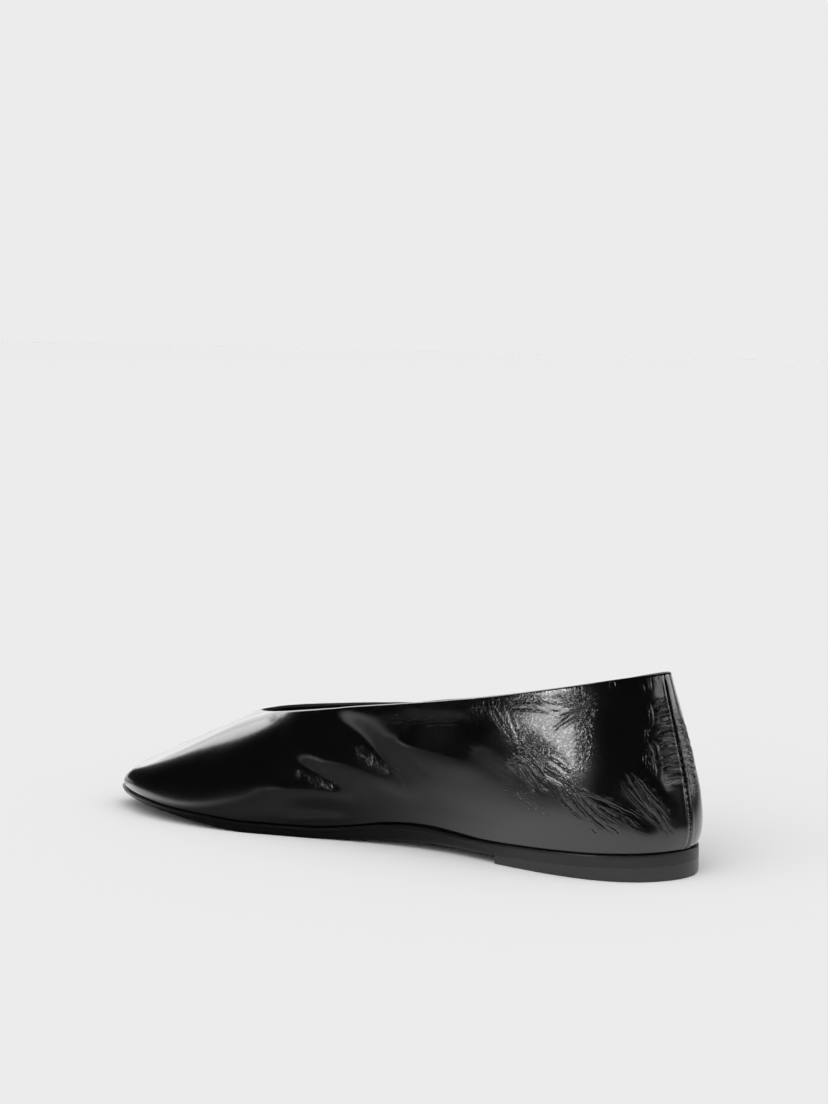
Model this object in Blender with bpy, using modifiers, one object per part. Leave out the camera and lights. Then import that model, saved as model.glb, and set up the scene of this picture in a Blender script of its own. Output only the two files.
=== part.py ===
"""A right-foot ballet flat in four pieces: upper, outsole, heel and insole.

The upper is one soft piece closed by a seam at the centre back. The outsole is thin,
lifts at the inner waist and springs a little at the toe. The heel is a low wedge.

Sizes are millimetres until a vertex is placed. +Y runs from heel to toe, +X is the
wearer's right, which is the outer side of this shoe, and +Z is up. The heel block and
the ball of the outsole stand on z = 0.
"""

from collections import namedtuple

import bmesh
import bpy
import numpy as np

MM = 0.001
NAME = "ballet_flat"

# Fit between pieces
GAP = 0.3
WELD = 1e-6

# Upper
WALL = 1.6
TUCK = 0.8
SEAM_DEPTH = 0.45
SEAM_HALF_WIDTH = 0.7
SEAM_TO_INNER = 2.2

# Outsole
LENGTH = 260.3
SOLE = 4.4
TOE_SOLE = 2.5
TOE_THIN_FROM = 181.0
TOE_THIN_TO = 225.0
BREAST_Y = 69.5
HEEL_SEAT = 5.7
HEEL_PITCH = 0.036
BALL_BACK = 156.0
BALL_FRONT = 183.0
TOE_SPRING = 5.7
TOE_SPRING_POWER = 1.1
ARCH_RISE = 3.6
ARCH_UNDER_RISE = 1.2
ARCH_Y = 112.0
ARCH_HALF_LENGTH = 43.0
ARCH_FROM_X = 10.0
ARCH_WIDTH = 30.0
SPINE_BACK = 22.0
SPINE_FRONT = 236.0
ROLL_LENGTH = 25.0

# Heel
HEEL_INSET = 0.05
HEEL_FOOT_EDGE = 0.6
CUTTER_SIZE = 300.0

# Insole
INSOLE = 2.0
INSOLE_EDGE = 0.5
INSOLE_MARGIN = 0.5

# Mesh density
SIDE_COLUMNS = 44
WALL_ROWS = 14

# One row for each line up the upper, from the toe round the inner side to the back and
# along the outer side to the toe. edge is the outsole's outline. The wall leaves its
# foot by rising and flaring outwards, and comes down from the topline point by running
# outwards and dropping.
Section = namedtuple("Section", "edge_x edge_y rise flare top_x top_y top_z run drop")
SECTIONS = (
    Section(-7.4, 260.3, 6.0, 2.0, -1.5, 193.4, 43.7, 42.0, 20.0),
    Section(-21.0, 249.5, 7.0, 2.2, -5.8, 191.6, 44.2, 38.0, 18.0),
    Section(-31.6, 226.0, 5.5, 1.4, -11.2, 186.8, 44.9, 24.0, 10.0),
    Section(-34.6, 198.0, 6.0, 1.6, -17.2, 177.0, 46.2, 14.0, 9.0),
    Section(-29.3, 165.0, 10.0, 3.4, -22.2, 160.0, 48.8, 8.0, 14.0),
    Section(-22.0, 133.0, 14.0, 6.5, -24.8, 133.0, 52.9, 5.0, 18.0),
    Section(-19.4, 103.0, 14.0, 8.0, -25.2, 103.0, 57.2, 3.5, 20.0),
    Section(-23.0, 68.0, 14.0, 6.0, -24.4, 67.0, 63.1, 4.0, 22.0),
    Section(-26.2, 33.0, 11.0, 5.5, -21.0, 36.0, 69.0, 5.5, 24.0),
    Section(-18.5, 9.3, 10.0, 6.5, -12.5, 17.4, 72.4, 5.5, 24.0),
    Section(0.0, 0.0, 10.0, 6.0, 0.0, 11.0, 73.0, 5.0, 22.0),
    Section(18.5, 9.3, 10.0, 7.0, 12.4, 17.6, 71.6, 6.5, 24.0),
    Section(26.2, 33.0, 11.0, 5.5, 20.5, 36.0, 67.2, 5.5, 24.0),
    Section(27.2, 68.0, 14.0, 4.5, 23.4, 67.0, 60.0, 5.0, 20.0),
    Section(31.4, 103.0, 14.0, 3.5, 25.0, 103.0, 53.4, 6.0, 17.0),
    Section(37.2, 133.0, 14.0, 3.0, 26.0, 133.0, 49.0, 9.0, 14.0),
    Section(41.4, 164.0, 14.0, 3.0, 24.4, 159.0, 46.2, 13.0, 11.0),
    Section(38.8, 194.0, 13.0, 3.0, 18.0, 176.0, 45.0, 18.0, 10.0),
    Section(27.0, 222.0, 11.0, 3.0, 10.4, 186.2, 44.4, 28.0, 12.0),
    Section(8.4, 248.6, 8.0, 2.5, 3.4, 191.4, 44.0, 38.0, 18.0),
)
TOE_SECTION = 0
BACK_SECTION = 10

# The outsole's profile from the middle of its bottom, round the edge, to the middle of
# its top. inset is in from the outline, roll is more inset ahead of the heel, spine is
# the share of the way to the middle line, and height is the share of the thickness.
Rim = namedtuple("Rim", "inset roll spine height")
OUTSOLE_PROFILE = (
    Rim(0.2, 1.3, 1.00, 0.00),
    Rim(0.2, 1.3, 0.66, 0.00),
    Rim(0.2, 1.3, 0.33, 0.00),
    Rim(0.2, 1.3, 0.00, 0.00),
    Rim(0.0, 0.5, 0.00, 0.22),
    Rim(0.0, 0.4, 0.00, 0.66),
    Rim(0.0, 0.0, 0.00, 0.72),
    Rim(0.0, 0.0, 0.00, 0.92),
    Rim(0.4, 0.0, 0.00, 1.00),
    Rim(0.4, 0.0, 0.33, 1.00),
    Rim(0.4, 0.0, 0.66, 1.00),
    Rim(0.4, 0.0, 1.00, 1.00),
)

Finish = namedtuple("Finish", "colour roughness")
UPPER_FINISH = Finish((0.012, 0.012, 0.013, 1.0), 0.18)
OUTSOLE_FINISH = Finish((0.015, 0.015, 0.016, 1.0), 0.55)
HEEL_FINISH = Finish((0.018, 0.018, 0.019, 1.0), 0.45)
INSOLE_FINISH = Finish((0.020, 0.019, 0.018, 1.0), 0.70)


def closed_spline(knots, values, loop, at):
    """Values at the places 'at' on the smooth closed curve through values at knots."""
    count = len(knots)
    steps = np.diff(np.append(knots, knots[0] + loop))
    slopes = (np.roll(values, -1, axis=0) - values) / steps[:, None]
    matrix = np.zeros((count, count))
    for i in range(count):
        matrix[i, i - 1] += steps[i]
        matrix[i, i] += 2 * (steps[i - 1] + steps[i])
        matrix[i, (i + 1) % count] += steps[i - 1]
    wanted = 3 * (steps[:, None] * np.roll(slopes, 1, axis=0) + np.roll(steps, 1)[:, None] * slopes)
    tangents = np.linalg.solve(matrix, wanted)
    at = np.mod(at - knots[0], loop) + knots[0]
    left = np.clip(np.searchsorted(knots, at, side="right") - 1, 0, count - 1)
    right = (left + 1) % count
    step = steps[left]
    share = ((at - knots[left]) / step)[:, None]
    step = step[:, None]
    return (
        (2 * share**3 - 3 * share**2 + 1) * values[left]
        + (share**3 - 2 * share**2 + share) * step * tangents[left]
        + (3 * share**2 - 2 * share**3) * values[right]
        + (share**3 - share**2) * step * tangents[right]
    )


def section_places():
    """The place of each section along the outline, and the outline's whole length."""
    edge = np.array([(row.edge_x, row.edge_y) for row in SECTIONS])
    steps = np.linalg.norm(np.roll(edge, -1, axis=0) - edge, axis=1)
    return np.concatenate([[0.0], np.cumsum(steps)[:-1]]), steps.sum()


def sections_at(places):
    """The section table read at any places along the outline, as a Section of columns."""
    knots, loop = section_places()
    columns = closed_spline(knots, np.array(SECTIONS), loop, places)
    return Section(*columns.T)


def outward(x, y):
    """Unit vectors in plan that point out of the closed loop x, y, as two columns."""
    along_x = np.roll(x, -1) - np.roll(x, 1)
    along_y = np.roll(y, -1) - np.roll(y, 1)
    size = np.hypot(along_x, along_y)
    return along_y / size, -along_x / size


def smooth(share):
    """A share eased at both ends and held between 0 and 1."""
    share = np.clip(share, 0.0, 1.0)
    return share * share * (3 - 2 * share)


def arch_share(x, y):
    """How much of the arch's lift there is, from none to all at the inner waist."""
    near = np.clip((y - ARCH_Y) / ARCH_HALF_LENGTH, -1.0, 1.0)
    return np.cos(near * np.pi / 2) ** 2 * smooth((ARCH_FROM_X - x) / ARCH_WIDTH)


def sole_bottom(x, y):
    """Height of the outsole's underside."""
    seat = HEEL_SEAT - HEEL_PITCH * y
    breast = HEEL_SEAT - HEEL_PITCH * BREAST_Y
    share = np.clip((y - BREAST_Y) / (BALL_BACK - BREAST_Y), 0.0, 1.0)
    fall = breast * (2 * share**3 - 3 * share**2 + 1)
    lead = HEEL_PITCH * (BALL_BACK - BREAST_Y) * (share**3 - 2 * share**2 + share)
    waist = np.where(y < BREAST_Y, seat, fall - lead)
    ahead = np.clip((y - BALL_FRONT) / (LENGTH - BALL_FRONT), 0.0, 1.0)
    spring = TOE_SPRING * np.sin(ahead * np.pi / 2) ** TOE_SPRING_POWER
    return waist + spring + ARCH_UNDER_RISE * arch_share(x, y)


def sole_top(x, y):
    """Height of the outsole's upper face."""
    thin = smooth((y - TOE_THIN_FROM) / (TOE_THIN_TO - TOE_THIN_FROM))
    waist = (ARCH_RISE - ARCH_UNDER_RISE) * arch_share(x, y)
    return sole_bottom(x, y) + SOLE - (SOLE - TOE_SOLE) * thin + waist


def side_places(count):
    """Places round the outline: count steps down the inner side and count up the outer."""
    knots, loop = section_places()
    inner = np.linspace(knots[TOE_SECTION], knots[BACK_SECTION], count + 1)
    outer = np.linspace(knots[BACK_SECTION], loop, count + 1)
    return np.concatenate([inner[:-1], outer[:-1]])


def seam_place():
    """Where the back seam stands on the outline."""
    return section_places()[0][BACK_SECTION] - SEAM_TO_INNER


def upper_places():
    """Places of the upper's columns, with close ones beside the back seam."""
    beside = seam_place() + SEAM_HALF_WIDTH * np.array([-2.5, -1.0, 0.0, 1.0, 2.5])
    return np.sort(np.concatenate([side_places(SIDE_COLUMNS), beside]))


def upper_skin():
    """The upper's outer face as rows of points from its foot to its topline."""
    places = upper_places()
    line = sections_at(places)
    edge_out_x, edge_out_y = outward(line.edge_x, line.edge_y)
    top_out_x, top_out_y = outward(line.top_x, line.top_y)
    foot_x = line.edge_x - TUCK * edge_out_x
    foot_y = line.edge_y - TUCK * edge_out_y
    foot_z = sole_top(foot_x, foot_y) + GAP
    foot = np.stack([foot_x, foot_y, foot_z], axis=1)
    lift = np.stack([line.flare * edge_out_x, line.flare * edge_out_y, line.rise], axis=1)
    top = np.stack([line.top_x, line.top_y, line.top_z], axis=1)
    fall = np.stack([line.run * top_out_x, line.run * top_out_y, -line.drop], axis=1)
    seam_offset = (places - seam_place()) / SEAM_HALF_WIDTH
    seam = SEAM_DEPTH * np.exp(-(seam_offset**2))
    rows = []
    for share in np.linspace(0.0, 1.0, WALL_ROWS + 1):
        rest = 1 - share
        row = rest**3 * foot + 3 * rest**2 * share * (foot + lift)
        row = row + 3 * rest * share**2 * (top + fall) + share**3 * top
        row[:, 0] -= seam * edge_out_x
        row[:, 1] -= seam * edge_out_y
        rows.append(row)
    return np.array(rows)


def slab_skin(profile, margin, low, high):
    """A closed slab on the outline: rows of points that follow the profile round its edge."""
    line = sections_at(side_places(SIDE_COLUMNS))
    out_x, out_y = outward(line.edge_x, line.edge_y)
    pair = (-np.arange(2 * SIDE_COLUMNS)) % (2 * SIDE_COLUMNS)
    along = np.minimum(np.arange(2 * SIDE_COLUMNS), pair) / SIDE_COLUMNS
    spine_y = SPINE_FRONT + (SPINE_BACK - SPINE_FRONT) * along
    spine_x = (line.edge_x + line.edge_x[pair]) / 2
    rows = []
    ahead = smooth((line.edge_y - BREAST_Y) / ROLL_LENGTH)
    for rim in profile:
        inset = margin + rim.inset + rim.roll * ahead
        x = line.edge_x - inset * out_x
        y = line.edge_y - inset * out_y
        x = x + rim.spine * (spine_x - x)
        y = y + rim.spine * (spine_y - y)
        bottom = low(x, y)
        rows.append(np.stack([x, y, bottom + rim.height * (high(x, y) - bottom)], axis=1))
    return np.array(rows)


def wrapped_grid(name, rows, move, finish, collection):
    """An object whose grid takes the given rows of points, joined end to end round the shoe."""
    row_count, column_count = rows.shape[:2]
    shape = bmesh.new()
    bmesh.ops.create_grid(shape, x_segments=column_count, y_segments=row_count - 1, size=1.0)
    for vertex in shape.verts:
        column = round((vertex.co.x + 1) / 2 * column_count) % column_count
        row = round((vertex.co.y + 1) / 2 * (row_count - 1))
        vertex.co = (rows[row, column] + move) * MM
    bmesh.ops.remove_doubles(shape, verts=shape.verts, dist=WELD)
    bmesh.ops.recalc_face_normals(shape, faces=shape.faces)
    mesh = bpy.data.meshes.new(name)
    shape.to_mesh(mesh)
    shape.free()
    material = bpy.data.materials.new(name)
    material.use_nodes = True
    shader = material.node_tree.nodes["Principled BSDF"]
    shader.inputs["Base Color"].default_value = finish.colour
    shader.inputs["Roughness"].default_value = finish.roughness
    mesh.materials.append(material)
    made = bpy.data.objects.new(name, mesh)
    collection.objects.link(made)
    return made


def cut_heel_breast(heel, move, helpers):
    """Cuts everything ahead of the breast from the heel blank."""
    shape = bmesh.new()
    bmesh.ops.create_cube(shape, size=CUTTER_SIZE * MM)
    mesh = bpy.data.meshes.new("heel_breast_cutter")
    shape.to_mesh(mesh)
    shape.free()
    cutter = bpy.data.objects.new("heel_breast_cutter", mesh)
    cutter.location = (0.0, (BREAST_Y + CUTTER_SIZE / 2 + move[1]) * MM, 0.0)
    cutter.hide_render = True
    cutter.display_type = "WIRE"
    helpers.objects.link(cutter)
    cut = heel.modifiers.new("breast", "BOOLEAN")
    cut.operation = "DIFFERENCE"
    cut.solver = "EXACT"
    cut.object = cutter


def clear_scene():
    """Removes what the scene starts with."""
    for old in list(bpy.data.objects):
        bpy.data.objects.remove(old)


def new_collection(name):
    """A collection of that name in the scene."""
    collection = bpy.data.collections.new(name)
    bpy.context.scene.collection.children.link(collection)
    return collection


def build():
    """Builds the four pieces, centred in plan over the origin and standing on z = 0."""
    clear_scene()
    parts = new_collection(NAME)
    helpers = new_collection(NAME + "_cutters")
    upper_rows = upper_skin()
    outsole_rows = slab_skin(OUTSOLE_PROFILE, 0.0, sole_bottom, sole_top)
    widest = np.concatenate([upper_rows.reshape(-1, 3), outsole_rows.reshape(-1, 3)])
    middle = (widest.min(axis=0) + widest.max(axis=0)) / 2
    move = np.array([-middle[0], -middle[1], 0.0])

    upper = wrapped_grid("upper", upper_rows, move, UPPER_FINISH, parts)
    shell = upper.modifiers.new("wall", "SOLIDIFY")
    shell.thickness = WALL * MM
    shell.offset = -1.0

    wrapped_grid("outsole", outsole_rows, move, OUTSOLE_FINISH, parts)

    heel_profile = (
        Rim(HEEL_FOOT_EDGE, 0.0, 1.0, 0.0),
        Rim(HEEL_FOOT_EDGE, 0.0, 0.0, 0.0),
        Rim(0.0, 0.0, 0.0, 0.15),
        Rim(0.0, 0.0, 0.0, 1.0),
        Rim(0.0, 0.0, 0.5, 1.0),
        Rim(0.0, 0.0, 1.0, 1.0),
    )
    heel_rows = slab_skin(
        heel_profile,
        HEEL_INSET,
        lambda x, y: np.zeros_like(x),
        lambda x, y: HEEL_SEAT - HEEL_PITCH * y - GAP + 0 * x,
    )
    heel = wrapped_grid("heel", heel_rows, move, HEEL_FINISH, parts)
    cut_heel_breast(heel, move, helpers)

    insole_profile = (
        Rim(0.0, 0.0, 1.00, 0.0),
        Rim(0.0, 0.0, 0.66, 0.0),
        Rim(0.0, 0.0, 0.33, 0.0),
        Rim(0.0, 0.0, 0.00, 0.0),
        Rim(0.0, 0.0, 0.00, 0.7),
        Rim(INSOLE_EDGE, 0.0, 0.00, 1.0),
        Rim(INSOLE_EDGE, 0.0, 0.33, 1.0),
        Rim(INSOLE_EDGE, 0.0, 0.66, 1.0),
        Rim(INSOLE_EDGE, 0.0, 1.00, 1.0),
    )
    insole_rows = slab_skin(
        insole_profile,
        TUCK + WALL + INSOLE_MARGIN,
        lambda x, y: sole_top(x, y) + GAP,
        lambda x, y: sole_top(x, y) + GAP + INSOLE,
    )
    wrapped_grid("insole", insole_rows, move, INSOLE_FINISH, parts)


build()
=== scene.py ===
"""Looks of the ballet flat: a right shoe in soft crinkled black patent.

Sizes are millimetres from the back of the heel until a vertex is placed. +Y runs from
heel to toe, +X is the outer side of the shoe and +Z is up. SHIFT then moves the shoe so
that it is centred in plan over the frame's origin.
"""

import math
from collections import namedtuple

import bmesh
import bpy
import numpy as np
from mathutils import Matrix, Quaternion, Vector

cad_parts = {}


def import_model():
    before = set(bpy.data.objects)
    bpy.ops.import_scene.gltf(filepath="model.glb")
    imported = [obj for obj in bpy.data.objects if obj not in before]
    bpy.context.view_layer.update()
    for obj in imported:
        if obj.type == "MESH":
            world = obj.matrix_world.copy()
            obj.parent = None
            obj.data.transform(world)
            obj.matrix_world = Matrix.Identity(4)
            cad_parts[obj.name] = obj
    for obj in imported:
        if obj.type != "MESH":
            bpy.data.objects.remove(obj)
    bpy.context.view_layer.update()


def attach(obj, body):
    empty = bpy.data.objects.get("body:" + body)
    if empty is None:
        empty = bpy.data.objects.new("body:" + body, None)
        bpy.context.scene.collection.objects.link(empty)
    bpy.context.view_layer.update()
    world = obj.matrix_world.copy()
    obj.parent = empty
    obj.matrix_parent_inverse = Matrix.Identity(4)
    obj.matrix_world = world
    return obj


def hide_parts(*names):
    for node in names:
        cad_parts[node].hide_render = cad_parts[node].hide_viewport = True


MM = 0.001
SHIFT = np.array([-3.4747, -129.6968, 0.0])

# Camera, as it stands to the shoe
CAMERA_PLACE = np.array([-879.94, -506.52, 222.05])
CAMERA_HEADING = 35.5333
CAMERA_PITCH = 5.9266
FOCAL_PIXELS = 2867.04
FRAME_HEIGHT_PIXELS = 1104
SENSOR = 36.0

# Upper
WALL = 1.6
TUCK = 0.8
FOOT_GAP = 0.3
NUDGE = 0.5
WALL_ROWS = 140
ROLL_ROWS = 8
GLOSS_ROWS = 3
LINING_STEP = 3
SEAM_DEPTH = 0.55
SEAM_WIDTH = 0.5
SEAM_TO_INNER = 2.2
SEAM_LIP = 0.3
SEAM_LIP_PLACE = 1.7
SEAM_LIP_WIDTH = 0.9
SEAM_FULL_FROM = 0.42
SEAM_FULL_OVER = 0.06
SEAM_LOW_SHARE = 0.5
SEAM_FADE_FROM = 0.93
SEAM_FADE = 0.7
SEAM_LENGTH = 75.0
STITCH_PITCH = 2.6
STITCH_SHARE = 0.3

# Outsole
LENGTH = 260.3
SOLE = 4.4
TOE_SOLE = 2.5
TOE_THIN_FROM = 181.0
TOE_THIN_TO = 225.0
BREAST_Y = 69.5
HEEL_SEAT = 5.7
HEEL_PITCH = 0.036
BALL_BACK = 156.0
BALL_FRONT = 183.0
TOE_SPRING = 5.7
TOE_SPRING_POWER = 1.1
ARCH_RISE = 3.6
ARCH_UNDER_RISE = 1.2
ARCH_Y = 112.0
ARCH_HALF_LENGTH = 43.0
ARCH_FROM_X = 10.0
ARCH_WIDTH = 30.0
SPINE_BACK = 22.0
SPINE_FRONT = 236.0
ROLL_LENGTH = 25.0
SIDE_COLUMNS = 300
SHARP_ANGLE = 35.0
WELD = 1e-6

# Heel and insole
HEEL_INSET = 0.02
HEEL_TOP_GAP = 0.02
INSOLE = 2.0
INSOLE_MARGIN = 0.4
INSOLE_GAP = 0.3

# Where painted shade darkens the outsole's colour ahead of the heel, in metres
PAINTED_SHADE_BACK = -0.075
PAINTED_SHADE_FRONT = -0.035

# One row for each line up the upper, from the toe round the inner side to the back and
# along the outer side to the toe. edge is on the sole's outline and top is on the
# topline. rise and flare are how far the line climbs and leans out as it leaves the
# sole, and run and drop are how far out and below the topline it comes from.
Section = namedtuple("Section", "edge_x edge_y rise flare top_x top_y top_z run drop")
SECTIONS = (
    Section(-7.4, 260.3, 6.0, 2.0, -1.5, 193.4, 43.7, 42.0, 20.0),
    Section(-21.0, 249.5, 7.0, 2.2, -5.8, 191.6, 44.2, 38.0, 18.0),
    Section(-31.6, 226.0, 5.5, 1.4, -11.2, 186.8, 44.9, 24.0, 10.0),
    Section(-34.6, 198.0, 6.0, 1.6, -17.2, 177.0, 46.2, 14.0, 9.0),
    Section(-29.3, 165.0, 10.0, 3.4, -22.2, 160.0, 48.8, 8.0, 14.0),
    Section(-22.0, 133.0, 14.0, 6.5, -24.8, 133.0, 52.9, 5.0, 18.0),
    Section(-19.4, 103.0, 14.0, 8.0, -25.2, 103.0, 57.2, 3.5, 20.0),
    Section(-23.0, 68.0, 14.0, 6.0, -24.4, 67.0, 63.1, 4.0, 22.0),
    Section(-26.2, 33.0, 11.0, 5.5, -21.0, 36.0, 69.0, 5.5, 24.0),
    Section(-18.5, 9.3, 10.0, 6.5, -12.5, 17.4, 72.4, 5.5, 24.0),
    Section(0.0, 0.0, 10.0, 6.0, 0.0, 11.0, 73.0, 5.0, 22.0),
    Section(18.5, 9.3, 10.0, 7.0, 12.4, 17.6, 71.6, 6.5, 24.0),
    Section(26.2, 33.0, 11.0, 5.5, 20.5, 36.0, 67.2, 5.5, 24.0),
    Section(27.2, 68.0, 14.0, 4.5, 23.4, 67.0, 60.0, 5.0, 20.0),
    Section(31.4, 103.0, 14.0, 3.5, 25.0, 103.0, 53.4, 6.0, 17.0),
    Section(37.2, 133.0, 14.0, 3.0, 26.0, 133.0, 49.0, 9.0, 14.0),
    Section(41.4, 164.0, 14.0, 3.0, 24.4, 159.0, 46.2, 13.0, 11.0),
    Section(38.8, 194.0, 13.0, 3.0, 18.0, 176.0, 45.0, 18.0, 10.0),
    Section(27.0, 222.0, 11.0, 3.0, 10.4, 186.2, 44.4, 28.0, 12.0),
    Section(8.4, 248.6, 8.0, 2.5, 3.4, 191.4, 44.0, 38.0, 18.0),
)
BACK_SECTION = 10

# Spans of the upper's columns: where each ends, in millimetres of outline past the centre
# back, and the step between its columns. They are closest at the back seam, then on the
# inner quarter, beside the seam on the outer side and on the inner vamp.
Span = namedtuple("Span", "until step")
COLUMN_SPANS = (
    Span(-200.0, 1.60),
    Span(-116.0, 0.60),
    Span(-95.0, 1.20),
    Span(-4.0, 0.44),
    Span(4.0, 0.20),
    Span(40.0, 0.55),
)
LAST_SPAN_STEP = 1.70

# The profiles of the sole, heel and sock, from the middle of the bottom round the edge
# to the middle of the top. inset is how far inside the outline a row lies, and roll is
# added to it ahead of the heel. spine is the share of the way in to the middle line,
# and height is the share of the thickness.
Rim = namedtuple("Rim", "inset roll spine height")
OUTSOLE_PROFILE = (
    Rim(0.0, 1.5, 1.00, 0.00),
    Rim(0.0, 1.5, 0.66, 0.00),
    Rim(0.0, 1.5, 0.33, 0.00),
    Rim(0.0, 1.7, 0.00, 0.00),
    Rim(0.0, 1.3, 0.00, 0.03),
    Rim(0.0, 0.6, 0.00, 0.22),
    Rim(0.0, 0.4, 0.00, 0.40),
    Rim(0.0, 0.4, 0.00, 0.64),
    Rim(0.0, 0.3, 0.00, 0.68),
    Rim(0.0, 0.0, 0.00, 0.72),
    Rim(0.0, 0.0, 0.00, 0.90),
    Rim(0.1, 0.0, 0.00, 0.96),
    Rim(0.5, 0.0, 0.00, 1.00),
    Rim(0.6, 0.0, 0.10, 1.00),
    Rim(0.6, 0.0, 0.50, 1.00),
    Rim(0.6, 0.0, 1.00, 1.00),
)
HEEL_PROFILE = (
    Rim(0.6, 0.0, 1.0, 0.0),
    Rim(0.6, 0.0, 0.1, 0.0),
    Rim(0.6, 0.0, 0.0, 0.0),
    Rim(0.2, 0.0, 0.0, 0.04),
    Rim(0.0, 0.0, 0.0, 0.14),
    Rim(0.0, 0.0, 0.0, 0.5),
    Rim(0.0, 0.0, 0.0, 1.0),
    Rim(0.0, 0.0, 1.0, 1.0),
)
INSOLE_PROFILE = (
    Rim(0.0, 0.0, 1.00, 0.0),
    Rim(0.0, 0.0, 0.00, 0.0),
    Rim(0.0, 0.0, 0.00, 0.6),
    Rim(0.2, 0.0, 0.00, 0.9),
    Rim(0.7, 0.0, 0.00, 1.0),
    Rim(1.2, 0.0, 0.02, 1.0),
    Rim(0.7, 0.0, 0.33, 1.0),
    Rim(0.7, 0.0, 0.66, 1.0),
    Rim(0.7, 0.0, 1.00, 1.0),
)

# Folds and creases, each through three places on the wall. along is millimetres of
# outline from the centre back, over zero on the inner side, and up is the share of the
# wall from its foot to its topline. A height over zero is a ridge, and lip is the share
# of a trough's depth that stands up on both sides of it.
FOLD_COLUMNS = "along_0 up_0 along_1 up_1 along_2 up_2 height width lip"
Fold = namedtuple("Fold", FOLD_COLUMNS, defaults=(0.0,))
SOFT_FOLDS = (
    Fold(165, 0.93, 139, 0.745, 112, 0.2, -1.8, 6.5),
    Fold(134, 0.66, 124, 0.47, 114, 0.24, 0.2, 4.0),
    Fold(163, 0.56, 147, 0.53, 113, 0.17, 0.7, 5.0),
    Fold(122, 0.79, 108, 0.65, 80, 0.56, 0.8, 6.0),
    Fold(125, 0.885, 108, 0.86, 82, 0.83, -0.9, 5.5),
    Fold(158, 1.04, 136, 1.02, 104, 0.95, 0.9, 6.5),
    Fold(176, 0.6, 159, 0.48, 146, 0.3, -0.9, 3.5),
    Fold(187, 0.37, 166, 0.34, 143, 0.29, 0.9, 4.0),
    Fold(125, 0.72, 116, 0.58, 108, 0.46, -0.25, 2.2),
    Fold(177, 0.16, 160, 0.17, 137, 0.03, -0.5, 3.0),
    Fold(178, 0.03, 163, 0.08, 148, 0.06, 0.4, 2.2),
    Fold(80, 1.0, 80, 0.8, 84, 0.56, 1.0, 13.0),
    Fold(74, 1.0, 56, 1.0, 38, 1.0, 0.15, 1.4),
    Fold(27, 0.58, 15, 0.5, 9, 0.3, 0.5, 3.5),
    Fold(31, 0.47, 22, 0.34, 14, 0.18, -0.6, 4.0),
    Fold(13, 0.18, 7, 0.175, -1, 0.165, 0.4, 4.5),
    Fold(-166, 0.97, -138, 0.75, -114, 0.24, -1.4, 6.5),
    Fold(-166, 0.58, -147, 0.55, -114, 0.2, 0.7, 5.0),
    Fold(-138, 0.88, -113, 0.65, -84, 0.56, 0.6, 6.5),
    Fold(-174, 0.56, -158, 0.46, -146, 0.3, -0.7, 4.0),
    Fold(-30, 0.52, -20, 0.38, -13, 0.2, -0.35, 4.0),
)
QUARTER_CREASES = (
    Fold(32, 0.93, 45, 0.87, 56, 0.75, -0.22, 0.5, 0.5),
    Fold(35, 0.92, 45, 0.85, 58, 0.77, -0.18, 0.45, 0.5),
    Fold(38, 0.89, 39, 0.84, 44, 0.79, -0.16, 0.45, 0.5),
    Fold(72, 0.91, 63, 0.905, 53, 0.86, -0.18, 0.5, 0.5),
    Fold(53, 0.86, 45, 0.88, 38, 0.905, -0.18, 0.5, 0.5),
    Fold(63, 0.96, 59, 0.91, 49, 0.88, -0.16, 0.45, 0.5),
    Fold(82, 0.99, 81, 0.9, 73, 0.76, -0.16, 0.45, 0.5),
    Fold(76, 0.99, 74, 0.88, 68, 0.72, -0.16, 0.45, 0.5),
    Fold(80, 0.99, 79, 0.95, 78, 0.9, -0.14, 0.45, 0.4),
    Fold(43, 0.99, 43, 0.95, 43, 0.9, -0.16, 0.55, 0.4),
    Fold(29, 1.0, 29, 0.98, 29, 0.955, -0.14, 0.45, 0.4),
    Fold(15, 0.97, 15, 0.94, 15, 0.92, -0.14, 0.45, 0.4),
    Fold(11, 0.99, 11, 0.96, 11, 0.93, -0.14, 0.45, 0.4),
    Fold(7, 0.99, 7, 0.97, 7, 0.95, -0.14, 0.45, 0.4),
    Fold(56, 0.63, 52, 0.61, 46, 0.545, -0.24, 0.5, 0.6),
    Fold(57, 0.56, 53, 0.535, 46, 0.485, -0.26, 0.55, 0.6),
    Fold(63, 0.61, 60, 0.57, 58, 0.53, -0.18, 0.45, 0.5),
    Fold(66, 0.58, 63, 0.51, 60, 0.455, -0.18, 0.45, 0.5),
    Fold(75, 0.58, 71, 0.605, 67, 0.62, -0.16, 0.45, 0.5),
    Fold(69, 0.6, 65, 0.58, 62, 0.53, -0.16, 0.45, 0.5),
    Fold(47, 0.48, 39, 0.34, 30, 0.2, -0.28, 0.5, 0.6),
    Fold(42, 0.44, 38, 0.375, 32, 0.28, -0.22, 0.45, 0.6),
    Fold(40, 0.43, 36.5, 0.37, 31, 0.29, -0.2, 0.45, 0.6),
    Fold(44, 0.46, 34, 0.405, 24, 0.31, -0.26, 0.5, 0.6),
    Fold(38, 0.43, 28, 0.37, 20, 0.28, -0.24, 0.5, 0.6),
    Fold(36, 0.4, 32, 0.345, 28, 0.31, -0.2, 0.45, 0.6),
    Fold(49, 0.41, 44, 0.34, 40, 0.28, -0.2, 0.45, 0.5),
    Fold(46, 0.44, 42, 0.36, 37, 0.27, -0.18, 0.45, 0.5),
    Fold(38, 0.24, 37, 0.22, 36, 0.2, -0.18, 0.45, 0.5),
    Fold(27, 0.34, 24, 0.28, 22, 0.23, -0.2, 0.45, 0.5),
    Fold(33, 0.27, 30, 0.24, 28, 0.19, -0.18, 0.45, 0.5),
)
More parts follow.
